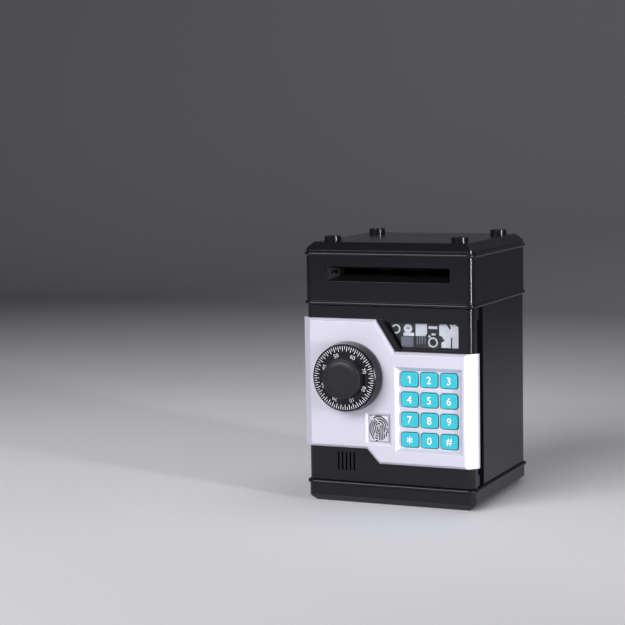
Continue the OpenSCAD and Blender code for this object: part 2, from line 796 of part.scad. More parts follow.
module feeder_frame() color([0.75, 0.75, 0.73]) {
    difference() {
        union() {
            for (s = [-1, 1])
                box([s * cheek_x - cheek_t / 2, cheek_y0, head_floor_top],
                    [s * cheek_x + cheek_t / 2, cheek_y1, cheek_top]);
            box([-cheek_x, cheek_y0, note_slot_z - note_gap / 2 - guide_t],
                [cheek_x, cheek_y1, note_slot_z - note_gap / 2]);
            rod_x(idler_y, idler_z, cheek_x, layer_2 + layer_t + 1.5, feed_shaft_r, small_fn);
        }
        for (s = [-1, 1])
            box([s * roller_pitch / 2 - roller_w / 2 - 1, feed_y - feed_roller_r - 0.6,
                    note_slot_z - note_gap / 2 - guide_t - 1],
                [s * roller_pitch / 2 + roller_w / 2 + 1, feed_y + feed_roller_r + 0.6, note_slot_z]);
        rod_x(feed_y, feed_z, -cheek_x - cheek_t, cheek_x + cheek_t, feed_shaft_r + run_fit, small_fn);
        rod_x(feed_y, pressure_z, -cheek_x - cheek_t, cheek_x + cheek_t, pressure_shaft_r + run_fit, small_fn);
        rod_x(motor_y, motor_z, cheek_x - cheek_t, cheek_x + cheek_t, motor_shaft_r + 1.5, small_fn);
    }
}

module feeder_top_guide() color([0.75, 0.75, 0.73]) {
    x = cheek_x - cheek_t / 2 - 0.05;
    difference() {
        union() {
            box([-x, cheek_y0, note_slot_z + note_gap / 2], [x, cheek_y1, note_slot_z + note_gap / 2 + guide_t]);
            for (s = [-1, 1])
                box([s * (x - 0.9) - 0.9, cheek_y0, note_slot_z + note_gap / 2],
                    [s * (x - 0.9) + 0.9, cheek_y1, cheek_top - 1]);
        }
        for (s = [-1, 1])
            box([s * roller_pitch / 2 - roller_w / 2 - 1, feed_y - pressure_roller_r - 0.6, note_slot_z],
                [s * roller_pitch / 2 + roller_w / 2 + 1, feed_y + pressure_roller_r + 0.6, cheek_top]);
        rod_x(feed_y, pressure_z, -x - 1, x + 1, pressure_shaft_r + 0.4, small_fn);
    }
}

module feed_motor() color(steel) {
    x1 = cheek_x - cheek_t / 2 - 0.05;
    difference() {
        union() {
            intersection() {
                rod_x(motor_y, motor_z, x1 - motor_l, x1 - 1.2, motor_d / 2);
                box([0, motor_y - motor_d, motor_z - motor_d * 0.42],
                    [cheek_x, motor_y + motor_d, motor_z + motor_d * 0.42]);
            }
            rod_x(motor_y, motor_z, x1 - 1.3, x1, 3, small_fn);
            rod_x(motor_y, motor_z, x1 - motor_l - 1.5, x1 - motor_l + 0.1, 2.4, small_fn);
        }
        rod_x(motor_y, motor_z, x1 - 6, x1 + 1, motor_shaft_r + run_fit, small_fn);
    }
}

module motor_pinion() color("khaki") {
    toward = direction([motor_y, motor_z], [idler_y, idler_z]);
    slab_x(layer_1, layer_1 + layer_t) translate([motor_y, motor_z])
        gear_outline(small_teeth, gear_module, toward);
    rod_x(motor_y, motor_z, cheek_x - cheek_t / 2 - 5, layer_1 + layer_t, motor_shaft_r, small_fn);
}

module idler_gear() color("ivory") {
    to_motor = direction([idler_y, idler_z], [motor_y, motor_z]);
    to_feed = direction([idler_y, idler_z], [feed_y, feed_z]);
    difference() {
        union() {
            slab_x(layer_1, layer_1 + layer_t) translate([idler_y, idler_z])
                gear_outline(large_teeth, gear_module, to_motor + 180 / large_teeth, 0.8);
            slab_x(layer_1 + layer_t - eps, layer_2 + layer_t) translate([idler_y, idler_z])
                gear_outline(small_teeth, gear_module, to_feed);
        }
        rod_x(idler_y, idler_z, layer_1 - 1, layer_2 + layer_t + 1, feed_shaft_r + run_fit, small_fn);
    }
}

module drive_gear() color("ivory") {
    to_idler = direction([feed_y, feed_z], [idler_y, idler_z]);
    difference() {
        slab_x(layer_2 + 0.1, layer_2 + layer_t - 0.1) translate([feed_y, feed_z])
            gear_outline(large_teeth, gear_module, to_idler + 180 / large_teeth, 0.8);
        rod_x(feed_y, feed_z, layer_2 - 1, layer_2 + layer_t + 1, feed_shaft_r + seat_fit, small_fn);
    }
}

module drive_shaft() color(steel) {
    rod_x(feed_y, feed_z, -cheek_x - cheek_t / 2 - 1, layer_2 + layer_t + 1, feed_shaft_r, small_fn);
}

module roller_pair(z, r, bore) {
    for (s = [-1, 1]) difference() {
        rod_x(feed_y, z, s * roller_pitch / 2 - roller_w / 2, s * roller_pitch / 2 + roller_w / 2, r);
        rod_x(feed_y, z, s * roller_pitch / 2 - roller_w, s * roller_pitch / 2 + roller_w, bore, small_fn);
    }
}

module feed_rollers() color([0.2, 0.2, 0.2]) {
    roller_pair(feed_z, feed_roller_r, feed_shaft_r + seat_fit);
}

module pressure_shaft() color(steel) {
    rod_x(feed_y, pressure_z, -cheek_x - cheek_t / 2 - 0.5, cheek_x + cheek_t / 2 + 0.3,
        pressure_shaft_r, small_fn);
}

module pressure_rollers() color([0.85, 0.85, 0.83]) {
    roller_pair(pressure_z, pressure_roller_r, pressure_shaft_r + seat_fit);
}

module coin_chute() color([0.16, 0.16, 0.17]) {
    difference() {
        box([-coin_slot_l / 2 - 1 - chute_wall, coin_slot_y - coin_slot_w / 2 - 1 - chute_wall, chute_bottom],
            [coin_slot_l / 2 + 1 + chute_wall, coin_slot_y + coin_slot_w / 2 + 1 + chute_wall,
                cover_under - 0.05]);
        box([-coin_slot_l / 2 - 1, coin_slot_y - coin_slot_w / 2 - 1, chute_bottom - 1],
            [coin_slot_l / 2 + 1, coin_slot_y + coin_slot_w / 2 + 1, cover_under + 1]);
    }
}

module main_board() color(board_green) {
    box([-board_x, board_y, board_z0], [board_x, board_y + board_t, board_z1]);
}

module board_parts() color([0.12, 0.12, 0.13]) {
    front = board_y - 0.02;
    for (p = board_blocks)
        box([p[0], front - p[4], p[1]], [p[0] + p[2], front, p[1] + p[3]]);
    for (x = board_cans) rod_y(x, board_can_z, front - board_can_tall, front, board_can_r, small_fn);
}

// ---- door ----

module door_shell() color(black) {
    difference() {
        union() {
            translate([0, 0, door_z0]) linear_extrude(door_z1 - door_z0) intersection() {
                rounded_rect(low_w, low_d, low_r);
                translate([-case_w, -case_d]) square([2 * case_w, case_d + door_back]);
            }
            hinge_lug(door_z0);
            hinge_lug(door_z1 - lug_h);
            // raised bar along the window's slanting side
            slab_y(low_front - 1.2, low_front + 1)
                polygon([[-6.6, plate_top], [-3.1, plate_top], [10, plate_step_top + 0.1],
                    [6.2, plate_step_top + 0.1]]);
        }
        translate([0, 0, door_z0 + door_wall]) linear_extrude(door_z1 - door_z0 - 2 * door_wall) intersection() {
            rounded_rect(low_w - 2 * door_wall, low_d - 2 * door_wall, low_r - door_wall / 2);
            translate([-case_w, -case_d]) square([2 * case_w, case_d + door_back + 1]);
        }
        for (z = [door_z0, door_z1 - lug_h])
            translate([hinge_x, hinge_y, z - 1])
                cylinder(h = lug_h + 2, r = hinge_pin_r + run_fit, $fn = small_fn);
        pad_y(keypad_x, keypad_z, well_w - 2, well_h - 2, 2, low_front - 1, low_front + door_wall + 1);
        pad_y(print_x, print_z, print_w + 4, print_h + 4, 1, low_front - 1, low_front + door_wall + 1);
        rod_y(dial_x, dial_z, low_front - 1, low_front + door_wall + 1, shaft_r + run_fit);
        slab_y(low_front - 2, low_front + door_wall + 1) polygon(window_outline);
        for (k = [0 : grille_slots - 1])
            pad_y(speaker_x + (k - (grille_slots - 1) / 2) * grille_pitch, speaker_z, grille_w, grille_h, 0.6,
                low_front - 1, low_front + door_wall + 1);
    }
    for (p = door_screw_places())
        difference() {
            rod_y(p[0], p[1], low_front + door_wall - eps, back_cover_y - 0.05, 3, small_fn);
            rod_y(p[0], p[1], low_front + door_wall + 1, back_cover_y + 1, screw_r + seat_fit, small_fn);
        }
}

module hinge_lug(z) {
    translate([hinge_x, hinge_y, z]) cylinder(h = lug_h, r = lug_r, $fn = small_fn);
    box([low_w / 2 - door_wall, door_back - 1, z], [low_w / 2 - 0.3, hinge_y, z + lug_h]);
}

function door_screw_places() = [[-55, door_z0 + 7], [-55, door_z1 - 8], [-2, door_z0 + 7], [-12, door_z1 - 5.5],
    [54, door_z0 + 7], [54, door_z1 - 4.8]];

// Polygon inset by k with mitred corners; its points run clockwise seen from the front
function edge_normal(a, b) = let (d = b - a) [d[1], -d[0]] / norm(d);
function inset_point(p, i, k) = let (
    n = len(p),
    n1 = edge_normal(p[(i + n - 1) % n], p[i]),
    n2 = edge_normal(p[i], p[(i + 1) % n])
) p[i] + k * (n1 + n2) / (1 + n1 * n2);
function inset_outline(p, k) = [for (i = [0 : len(p) - 1]) inset_point(p, i, k)];

// Slanting edge of the plate through a point: keeps the side that `side` names (+1 upper right, -1 lower left)
module slanted_edge(a, b, side, inset) {
    bev = max(0.2, plate_bevel - 0.5858 * inset);
    far = 2 * case_h;
    front = plate_front + inset;
    translate([a[0], 0, a[1]]) rotate([0, atan2(a[1] - b[1], b[0] - a[0]), 0]) slab_x(-far, far)
        polygon([[front, side * far], [front, side * (inset + bev)], [front + bev, side * inset],
            [plate_back + 1, side * inset], [plate_back + 1, side * far]]);
}

// Level band of the plate between two heights, bevelled along both
module level_band(z0, z1, inset) {
    bev = max(0.2, plate_bevel - 0.5858 * inset);
    front = plate_front + inset;
    slab_x(-plate_x - 1, plate_x + 1)
        polygon([[front, z0 + inset + bev], [front, z1 - inset - bev], [front + bev, z1 - inset],
            [plate_back + 1, z1 - inset], [plate_back + 1, z0 + inset], [front + bev, z0 + inset]]);
}

// The plate's outer or inner form: a left part that is higher and a right part that is lower
module plate_form(inset, back) {
    intersection() {
        linear_extrude(case_h) plate_plan(inset, back);
        union() {
            intersection() {
                level_band(plate_step_bottom, plate_top, inset);
                slanted_edge([plate_cut_x, plate_top], [plate_step_x, plate_step_top], -1, inset);
            }
            intersection() {
                level_band(plate_bottom, plate_step_top, inset);
                slanted_edge([plate_foot_step_x, plate_step_bottom], [plate_foot_cut_x, plate_bottom], 1, inset);
            }
        }
    }
}

// Plan of the plate: flat front, facets at 45 degrees, short sides
module plate_plan(inset, back) {
    x = plate_x - inset;
    f = plate_facet - inset * 0.5858;
    y = plate_front + inset;
    polygon([[-x + f, y], [x - f, y], [x, y + f], [x, back], [-x, back], [-x, y + f]]);
}

module door_plate() color(silver) {
    difference() {
        union() {
            difference() {
                plate_form(0, plate_back);
                plate_form(plate_t, plate_back + 1);
                // the side walls fit round the door's corners
                linear_extrude(case_h) rounded_rect(low_w + 0.06, low_d + 0.06, low_r);
            }
            pad_y(keypad_x, keypad_z, well_w + 2 * pan_t, well_h + 2 * pan_t, 1, plate_front + 0.6,
                well_floor_y + pan_t);
            pad_y(print_x, print_z, print_w + 2 * print_slope + 3.2, print_h + 2 * print_slope + 3.2, 1,
                plate_front + 0.6, plate_front + print_depth + pan_t);
            rod_y(dial_x, dial_z, plate_front + 0.6, low_front - 0.02, hub_r);
        }
        sloping_well(keypad_x, keypad_z, well_w, well_h, well_slope, plate_front - eps, well_floor_y);
        sloping_well(print_x, print_z, print_w + 2 * print_gap + 2 * print_slope,
            print_h + 2 * print_gap + 2 * print_slope, print_slope, plate_front - eps, plate_front + print_depth);
        for (k = [0 : 11])
            pad_y(key_x(k), key_z(k), key_w + 2 * key_gap, key_h + 2 * key_gap, key_r + key_gap,
                plate_front, well_floor_y + pan_t + 1);
        pad_y(print_x, print_z, print_w + 2 * print_gap, print_h + 2 * print_gap, 1, plate_front, low_front);
        rod_y(dial_x, dial_z, plate_front - 1, low_front + 1, shaft_r + run_fit);
    }
}

function key_x(k) = keypad_x + (k % 3 - 1) * key_pitch_x;
function key_z(k) = keypad_z + (1.5 - floor(k / 3)) * key_pitch_z;

module key(k) color(teal) {
    front = well_floor_y - key_proud;
    back = well_floor_y + pan_t + 0.05;
    pad_y(key_x(k), key_z(k), key_w, key_h, key_r, front, back + eps);
    pad_y(key_x(k), key_z(k), key_w + 2 * key_gap + 2 * key_lip, key_h + 2 * key_gap + 2 * key_lip, key_r,
        back, back + key_lip_t);
}

module keypad_mat() color([0.85, 0.85, 0.85]) {
    pad_y(keypad_x, keypad_z, well_w - 3, well_h - 3, 2, mat_y, mat_y + mat_t);
}

module keypad_board() color(board_green) {
    pad_y(keypad_x, keypad_z, well_w - 3, well_h - 3, 1, mat_y + mat_t, mat_y + mat_t + key_board_t);
}

module fingerprint_button() color([0.88, 0.88, 0.92]) {
    front = plate_front + print_depth - 0.3;
    back = plate_front + print_depth + pan_t + 0.05;
    pad_y(print_x, print_z, print_w, print_h, 0.8, front, back + eps);
    pad_y(print_x, print_z, print_w + 2 * print_gap + 1.2, print_h + 2 * print_gap + 1.2, 1, back, back + 0.9);
}

module window_lens() color([0.7, 0.75, 0.8, 0.35]) {
    slab_y(low_front + door_wall + 0.02, low_front + door_wall + lens_t)
        polygon(inset_outline(window_outline, -lens_lip));
}

// Plate behind the window with stylised lock works in relief: rings, a motor with a comb, blocks
module mechanism_insert() color([0.78, 0.78, 0.82]) {
    slab_y(insert_y, insert_y + insert_t) polygon(inset_outline(window_outline, -lens_lip));
    relief(relief_high) {
        for (ring = works_rings) works_ring(ring);
        difference() {
            translate(works_wheel) circle(works_wheel_r, $fn = small_fn);
            works_plate(wheel_slit);
        }
        for (bar = works_bars) works_plate(bar);
        polygon(works_block);
        translate(works_stud) rotate(45) square(works_stud_w, center = true);
        works_cluster();
    }
    relief(relief_low)
        for (pad = works_pads) works_plate(pad);
    for (k = [0 : comb_teeth - 1])
        comb_tooth(works_left + comb_at[0] + k * comb_pitch, works_low + comb_at[1]);
}

// Flat shapes that stand out of the insert by a height
module relief(height) {
    slab_y(insert_y - height, insert_y + eps) translate([works_left, works_low]) children();
}

module works_plate(at) {
    translate([at[0], at[1]]) square([at[2], at[3]]);
}

module works_ring(ring) {
    outer = ring[2];
    translate([ring[0], ring[1]]) difference() {
        circle(outer, $fn = small_fn);
        circle(ring[3], $fn = small_fn);
        if (ring[4] > 0)
            rotate(ring[4]) polygon([[0, 0], [2 * outer, -2 * ring_gap_slope * outer],
                [2 * outer, 2 * ring_gap_slope * outer]]);
    }
}

module works_cluster() {
    translate([cluster_x, 0]) difference() {
        polygon(cluster_outline);
        for (cut = cluster_cuts) polygon(cut);
    }
}

// Half-round tooth of the comb, standing on the insert's face
module comb_tooth(x, z) {
    translate([x, insert_y, z]) intersection() {
        cylinder(h = comb_long, r = comb_r, $fn = small_fn);
        translate([-1, -1, 0]) cube([2, 1 + eps, comb_long]);
    }
}

module speaker() color([0.25, 0.25, 0.26]) {
    y0 = low_front + door_wall + 0.1;
    difference() {
        rod_y(speaker_x, speaker_z, y0, y0 + speaker_t - 1.4, speaker_r);
        translate([speaker_x, y0 - 1, speaker_z]) rotate([-90, 0, 0]) cylinder(h = 2.2, r = speaker_r - 1.6);
    }
    rod_y(speaker_x, speaker_z, y0 + speaker_t - 1.5, y0 + speaker_t, speaker_r * 0.55);
}

module door_back_cover() color([0.13, 0.13, 0.14]) {
    x0 = -low_w / 2 + door_wall + fit;
    x1 = low_w / 2 - door_wall - 2.6;
    difference() {
        union() {
            difference() {
                box([x0, back_cover_y, door_z0 + door_wall + fit], [x1, door_back, door_z1 - door_wall - fit]);
                box([lock_x0 + lock_wall, back_cover_y - 1, lock_z0 + lock_wall],
                    [lock_x1 - lock_wall, door_back + 1, lock_z1 - lock_wall]);
            }
            difference() {
                box([lock_x0, door_back - eps, lock_z0], [lock_x1, lock_back, lock_z1]);
                box([lock_x0 + lock_wall, door_back - 1, lock_z0 + lock_wall],
                    [lock_x1 - lock_wall, lock_back - lock_wall, lock_z1 - lock_wall]);
            }
        }
        box([lock_x0 - 1, bolt_y - 0.2, rack_z - 0.2], [lock_x0 + lock_wall + 1, bolt_y + bolt_t + 0.2,
            rack_z + bolt_h + 0.2]);
        for (p = door_screw_places()) {
            rod_y(p[0], p[1], back_cover_y - 1, door_back + 1, screw_r + 0.2, small_fn);
            rod_y(p[0], p[1], door_back - 1, door_back + 1, screw_head_r + 0.2, small_fn);
        }
    }
}

module door_screws() color(steel) {
    for (p = door_screw_places()) {
        rod_y(p[0], p[1], door_back - 1, door_back - 0.1, screw_head_r, small_fn);
        rod_y(p[0], p[1], low_front + door_wall + 1.4, door_back - 1 + eps, screw_r, small_fn);
    }
}

// ---- lock ----

pitch_z = dial_z + pinion_r;
rack_z = pitch_z + 1.25 * lock_module;

// Rack teeth on the underside of the bolt; at rest the first gap stands over the pinion's top tooth
module latch_bolt() color(steel) {
    pitch = PI * lock_module;
    half = pitch / 4 - backlash / 2;
    lean = tan(pressure_angle);
    tip = 0.85 * lock_module;
    box([bolt_x0, bolt_y, rack_z], [bolt_x1, bolt_y + bolt_t, rack_z + bolt_h]);
    slab_y(bolt_y, bolt_y + bolt_t) for (k = [-2 : 6]) translate([dial_x + (k + 0.5) * pitch, pitch_z])
        polygon([[-half - (rack_z - pitch_z) * lean, rack_z - pitch_z + eps],
            [-half + tip * lean, -tip], [half - tip * lean, -tip],
            [half + (rack_z - pitch_z) * lean, rack_z - pitch_z + eps]]);
}

// Pinion and notched disc, moulded in one piece
module latch_pinion() color("khaki") {
    difference() {
        union() {
            slab_y(pinion_y, disc_y + eps) translate([dial_x, dial_z])
                gear_outline(pinion_teeth, lock_module, 90);
            rod_y(dial_x, dial_z, disc_y, disc_y + disc_t, disc_r);
        }
        rod_y(dial_x, dial_z, pinion_y - 1, disc_y + disc_t + 1, shaft_r + seat_fit);
        // one notch faces the pin at each end of the dial's turn
        for (a = [0, dial_turn_deg])
            translate([dial_x, disc_y - 0.05, dial_z]) rotate([0, a, 0])
                translate([-notch_w / 2, 0, -disc_r - 1]) cube([notch_w, disc_t + 1, notch_depth + 1]);
    }
}

module dial_shaft() color(steel) {
    rod_y(dial_x, dial_z, plate_front - dial_t + 1 + shaft_seat, disc_y + disc_t + 1, shaft_r);
}

module dial_ring() color(black) {
    translate([dial_x, plate_front, dial_z]) rotate([90, 0, 0]) difference() {
        rotate_extrude($fn = 2 * round_fn) polygon([[0, dial_gap], [dial_r, dial_gap], [dial_r, dial_foot_t],
            [dial_r - dial_face_in + dial_edge, dial_t - dial_edge], [dial_r - dial_face_in, dial_t],
            [0, dial_t]]);
        difference() {
            translate([0, 0, -1]) cylinder(h = dial_t - dial_cap_t, r = dial_r - dial_shell, $fn = round_fn);
            cylinder(h = dial_t, r = hub_r, $fn = round_fn);
        }
        translate([0, 0, -1]) cylinder(h = dial_t - shaft_seat, r = shaft_r + seat_fit, $fn = round_fn);
    }
}

module dial_knob() color(black) {
    translate([dial_x, plate_front - dial_t, dial_z]) rotate([90, 0, 0])
        rotate_extrude($fn = 2 * round_fn) polygon([[0, 0], [knob_r, 0], [knob_r, knob_h - knob_edge],
            [knob_r - knob_edge, knob_h], [knob_r - knob_edge - knob_rim, knob_h], [0, knob_h - knob_dish]]);
}

module lock_solenoid() color(steel) {
    difference() {
        translate([dial_x, sol_y, sol_z0 + sol_h / 2]) cube([sol_w, 2 * (lock_back - lock_wall - 0.3 - sol_y),
            sol_h], center = true);
        translate([dial_x, sol_y, sol_z0 + 2]) cylinder(h = sol_h, r = sol_pin_r + run_fit, $fn = small_fn);
    }
}

module solenoid_pin() color([0.6, 0.6, 0.62]) {
    z1 = dial_z - disc_r - sol_gap;
    translate([dial_x, sol_y, sol_z0 + 2.1]) cylinder(h = z1 - sol_z0 - 2.1, r = sol_pin_r, $fn = small_fn);
}

base_tray();
battery_cover();
batteries();
battery_contacts();
vault_housing();
vault_floor();
rear_panel();
hinge_pins();
head_housing();
top_cover();
top_studs();
note_throat();
note_sensor();
feeder_frame();
feeder_top_guide();
feed_motor();
motor_pinion();
idler_gear();
drive_gear();
drive_shaft();
feed_rollers();
pressure_shaft();
pressure_rollers();
coin_chute();
main_board();
board_parts();
case_screws();
rear_screws();
door_shell();
door_plate();
window_lens();
mechanism_insert();
fingerprint_button();
keypad_mat();
keypad_board();
speaker();
door_back_cover();
lock_solenoid();
solenoid_pin();
latch_bolt();
latch_pinion();
dial_shaft();
dial_ring();
dial_knob();
door_screws();
key(0);  // key_1
key(1);  // key_2
key(2);  // key_3
key(3);  // key_4
key(4);  // key_5
key(5);  // key_6
key(6);  // key_7
key(7);  // key_8
key(8);  // key_9
key(9);  // key_star
key(10);  // key_0
key(11);  // key_hash
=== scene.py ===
"""Looks of a toy cash machine savings bank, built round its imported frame."""
import math

import bpy
import numpy as np
from mathutils import Matrix, Vector


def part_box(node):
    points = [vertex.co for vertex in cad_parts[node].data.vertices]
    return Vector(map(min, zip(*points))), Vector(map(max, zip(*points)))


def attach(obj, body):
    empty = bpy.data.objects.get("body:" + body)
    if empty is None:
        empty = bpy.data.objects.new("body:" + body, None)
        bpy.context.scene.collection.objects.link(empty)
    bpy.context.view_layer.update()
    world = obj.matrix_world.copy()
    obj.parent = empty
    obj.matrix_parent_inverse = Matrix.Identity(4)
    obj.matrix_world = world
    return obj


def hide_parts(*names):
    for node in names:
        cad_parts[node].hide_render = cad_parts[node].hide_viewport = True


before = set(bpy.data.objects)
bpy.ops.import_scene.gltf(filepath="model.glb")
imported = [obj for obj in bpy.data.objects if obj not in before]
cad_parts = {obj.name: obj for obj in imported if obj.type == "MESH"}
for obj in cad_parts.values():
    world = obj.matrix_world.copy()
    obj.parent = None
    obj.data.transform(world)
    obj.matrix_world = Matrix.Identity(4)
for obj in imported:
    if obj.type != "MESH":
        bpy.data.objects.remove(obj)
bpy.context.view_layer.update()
mm = 0.001


# ---- Camera ----
# A long lens, a little to the right of the door and slightly above it.
camera_yaw = math.radians(24.4)
camera_pitch = math.radians(6.1)
camera_roll = math.radians(-1.0)
camera_distance = 1.33
camera_aim = Vector((-0.084, 0, 0.129))
camera_lens, camera_sensor = 102.5, 36

camera_forward = Vector((-math.sin(camera_yaw) * math.cos(camera_pitch),
                         math.cos(camera_yaw) * math.cos(camera_pitch), -math.sin(camera_pitch)))
level_right = Vector((math.cos(camera_yaw), math.sin(camera_yaw), 0))
level_up = level_right.cross(camera_forward)
camera_right = level_right * math.cos(camera_roll) + level_up * math.sin(camera_roll)
camera_up = level_up * math.cos(camera_roll) - level_right * math.sin(camera_roll)
camera_data = bpy.data.cameras.new("camera")
camera_data.lens, camera_data.sensor_width = camera_lens, camera_sensor
camera = bpy.data.objects.new("camera", camera_data)
bpy.context.collection.objects.link(camera)
camera_turn = Matrix((camera_right, camera_up, -camera_forward)).transposed().to_4x4()
camera.matrix_world = Matrix.Translation(camera_aim - camera_forward * camera_distance) @ camera_turn
bpy.context.scene.camera = camera


# ---- Studio ----
# A pale paper table that curves up into a wall and is darker further away (painted shade), a broad
# soft light at the front, a narrow strip at the right for the edge highlights and a weak light overhead.
bevel_samples = 6
pale_reach = 0.45
pale_fade = 1.1
sweep_depth, sweep_radius, sweep_top = 1.2, 0.6, 3.2
sweep_near, sweep_half_width = -2.5, 3.0
light_aim = Vector((0, 0, 0.1))
world_tint, world_strength = (0.9, 0.91, 0.97, 1), 0.07


class Shade:
    """A socket's value; arithmetic on it adds Math nodes to its material."""

    def __init__(self, finish, socket):
        self.finish, self.socket = finish, socket

    def math(self, operation, *values):
        return self.finish.node("Math", {"operation": operation}, *values)

    def __add__(self, other):
        return self.math("ADD", self, other)

    def __radd__(self, other):
        return self.math("ADD", other, self)

    def __sub__(self, other):
        return self.math("SUBTRACT", self, other)

    def __mul__(self, other):
        return self.math("MULTIPLY", self, other)

    def __truediv__(self, other):
        return self.math("DIVIDE", self, other)

    def __gt__(self, other):
        return self.math("GREATER_THAN", self, other)

    def __lt__(self, other):
        return self.math("LESS_THAN", self, other)

    def abs(self):
        return self.math("ABSOLUTE", self)

    def limited(self):
        """The value held between 0 and 1."""
        return self.finish.node("Clamp", {}, self, 0.0, 1.0)


class Finish:
    """A material whose nodes are added one at a time."""

    def __init__(self, name, **fixed):
        self.material = bpy.data.materials.new(name)
        self.material.use_nodes = True
        self.tree = self.material.node_tree
        self.shader = self.tree.nodes["Principled BSDF"]
        for socket, value in fixed.items():
            self.shader.inputs[socket.replace("_", " ")].default_value = value

    def node(self, kind, settings, *values, out=0):
        """Adds a node, its settings first and then its inputs in order, and returns one output."""
        made = self.tree.nodes.new("ShaderNode" + kind)
        for key, value in settings.items():
            setattr(made, key, value)
        sockets = [s for s in made.inputs if s.enabled]
        for socket, value in zip(sockets, values):
            if isinstance(value, Shade):
                self.tree.links.new(value.socket, socket)
            elif value is not None:
                socket.default_value = value
        outputs = [s for s in made.outputs if s.enabled]
        return Shade(self, outputs[out])

    def place(self):
        """Object coordinates, in metres."""
        return self.node("TexCoord", {}, out=3)

    def axes(self):
        """The three object coordinates, one by one."""
        split = self.node("SeparateXYZ", {}, self.place())
        return [Shade(self, s) for s in split.socket.node.outputs]

    def noise(self, scale, detail=2.0, roughness=0.5, place=None):
        """Noise of about 1 / scale metres, between 0 and 1."""
        return self.node("TexNoise", {}, place or self.place(), scale, detail, roughness)

    def blend(self, share, a, b):
        """Colour a where share is 0 and b where it is 1."""
        return self.node("Mix", {"data_type": "RGBA"}, share, a, b)

    def soft_edges(self, radius, height=None, depth=0.0):
        """Rounds the sharp edges in shading, and adds a height pattern of that depth in metres."""
        normal = self.node("Bevel", {"samples": bevel_samples}, radius)
        if height is not None:
            normal = self.node("Bump", {}, 1.0, depth, None, height, normal)
        self.set("Normal", normal)

    def set(self, socket, value):
        """Links a value to one of the shader's own sockets."""
        self.tree.links.new(value.socket, self.shader.inputs[socket])


def colour(r, g, b):
    """Linear colour from red, green and blue between 0 and 255, as a painter would name them."""
    return tuple(((c / 255 + 0.055) / 1.055) ** 2.4 if c > 10 else c / 3295 for c in (r, g, b)) + (1,)


def make_mesh(name, points, faces):
    """Object at the origin with these points and faces."""
    mesh = bpy.data.meshes.new(name)
    mesh.from_pydata(np.asarray(points, float).reshape(-1, 3).tolist(), [], faces)
    mesh.update()
    made = bpy.data.objects.new(name, mesh)
    bpy.context.collection.objects.link(made)
    return made


def grid_faces(rows, columns, around=False, start=0):
    """Quads between neighbours of a grid of points; around joins the last column to the first."""
    i, j = np.meshgrid(np.arange(rows - 1), np.arange(columns - (0 if around else 1)), indexing="ij")
    right = (j + 1) % columns
    quads = np.stack([i * columns + j, i * columns + right, (i + 1) * columns + right,
                      (i + 1) * columns + j], -1)
    return (quads.reshape(-1, 4) + start).tolist()


def smooth(made, angle=35):
    """Shades an object smooth, but keeps edges sharper than the angle."""
    made.data.polygons.foreach_set("use_smooth", np.ones(len(made.data.polygons), bool))
    made.data.set_sharp_from_angle(angle=math.radians(angle))
    return made


def paint(made, finish):
    """Gives the whole object one material."""
    made.data.materials.clear()
    made.data.materials.append(finish.material)
    return made


def finish_nodes(finish, *names):
    """Gives CAD nodes one material."""
    for name in names:
        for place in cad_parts[name].material_slots:
            place.material = finish.material


table = Finish("studio_paper", Roughness=0.9, Specular_IOR_Level=0.2)
# Painted shade: the paper's colour falls from pale to dark grey between pale_reach and pale_reach plus
# pale_fade metres from the case.
far = table.node("VectorMath", {"operation": "LENGTH"}, table.place())
painted_falloff = ((far - pale_reach) / pale_fade).limited()
table.set("Base Color", table.blend(painted_falloff, table.blend(table.noise(3.0), (0.76, 0.76, 0.78, 1),
                                                         (0.82, 0.82, 0.84, 1)), (0.25, 0.25, 0.26, 1)))
# The sweep is a flat floor, a quarter circle and a wall, carried straight across.
sweep_turn = np.linspace(0, math.pi / 2, 24)
sweep_y = np.concatenate([[sweep_near], sweep_depth + sweep_radius * np.sin(sweep_turn),
                          [sweep_depth + sweep_radius]])
sweep_z = np.concatenate([[0], sweep_radius * (1 - np.cos(sweep_turn)), [sweep_top]])
sweep_x = np.array([-sweep_half_width, sweep_half_width])
sweep = np.stack([np.broadcast_to(sweep_x, (len(sweep_y), 2)),
                  np.broadcast_to(sweep_y[:, None], (len(sweep_y), 2)),
                  np.broadcast_to(sweep_z[:, None], (len(sweep_y), 2))], -1)
floor = paint(smooth(make_mesh("studio_floor", sweep, grid_faces(len(sweep_y), 2))), table)


def soft_light(name, place, size, watts, tint, spread=180):
    """A softbox of this width and height that faces the middle of the case, with its beam's angle."""
    data = bpy.data.lights.new(name, "AREA")
    data.shape, data.energy, data.color = "RECTANGLE", watts, tint
    data.size, data.size_y = size
    data.spread = math.radians(spread)
    lamp = bpy.data.objects.new(name, data)
    bpy.context.collection.objects.link(lamp)
    lamp.location = place
    lamp.rotation_mode = "QUATERNION"
    lamp.rotation_quaternion = (light_aim - Vector(place)).to_track_quat("-Z", "Y")


soft_light("light_right", (0.94, -0.39, 0.15), (0.07, 0.5), 1.0, (1.0, 0.985, 1.0), 50)
soft_light("light_front", (-0.55, -1.55, 1.0), (1.4, 1.0), 33, (0.98, 0.975, 1.0))
soft_light("light_top", (0.15, 0.25, 1.1), (0.5, 0.5), 2, (1.0, 0.99, 0.98))
world = bpy.data.worlds.new("studio")
world.use_nodes = True
world.node_tree.nodes["Background"].inputs[0].default_value = world_tint
world.node_tree.nodes["Background"].inputs[1].default_value = world_strength
bpy.context.scene.world = world
# The plain view keeps the keys' turquoise as saturated as the plastic is.
bpy.context.scene.view_settings.view_transform = "Standard"


# ---- Case ----
# Injection-moulded ABS in glossy black: base tray, lower case, head, top cover and its four
# pushed-in studs, with the faint waviness and fine scuffs of moulded plastic.
black_drift_step = 6
black_peel_depth = 0.006 * mm


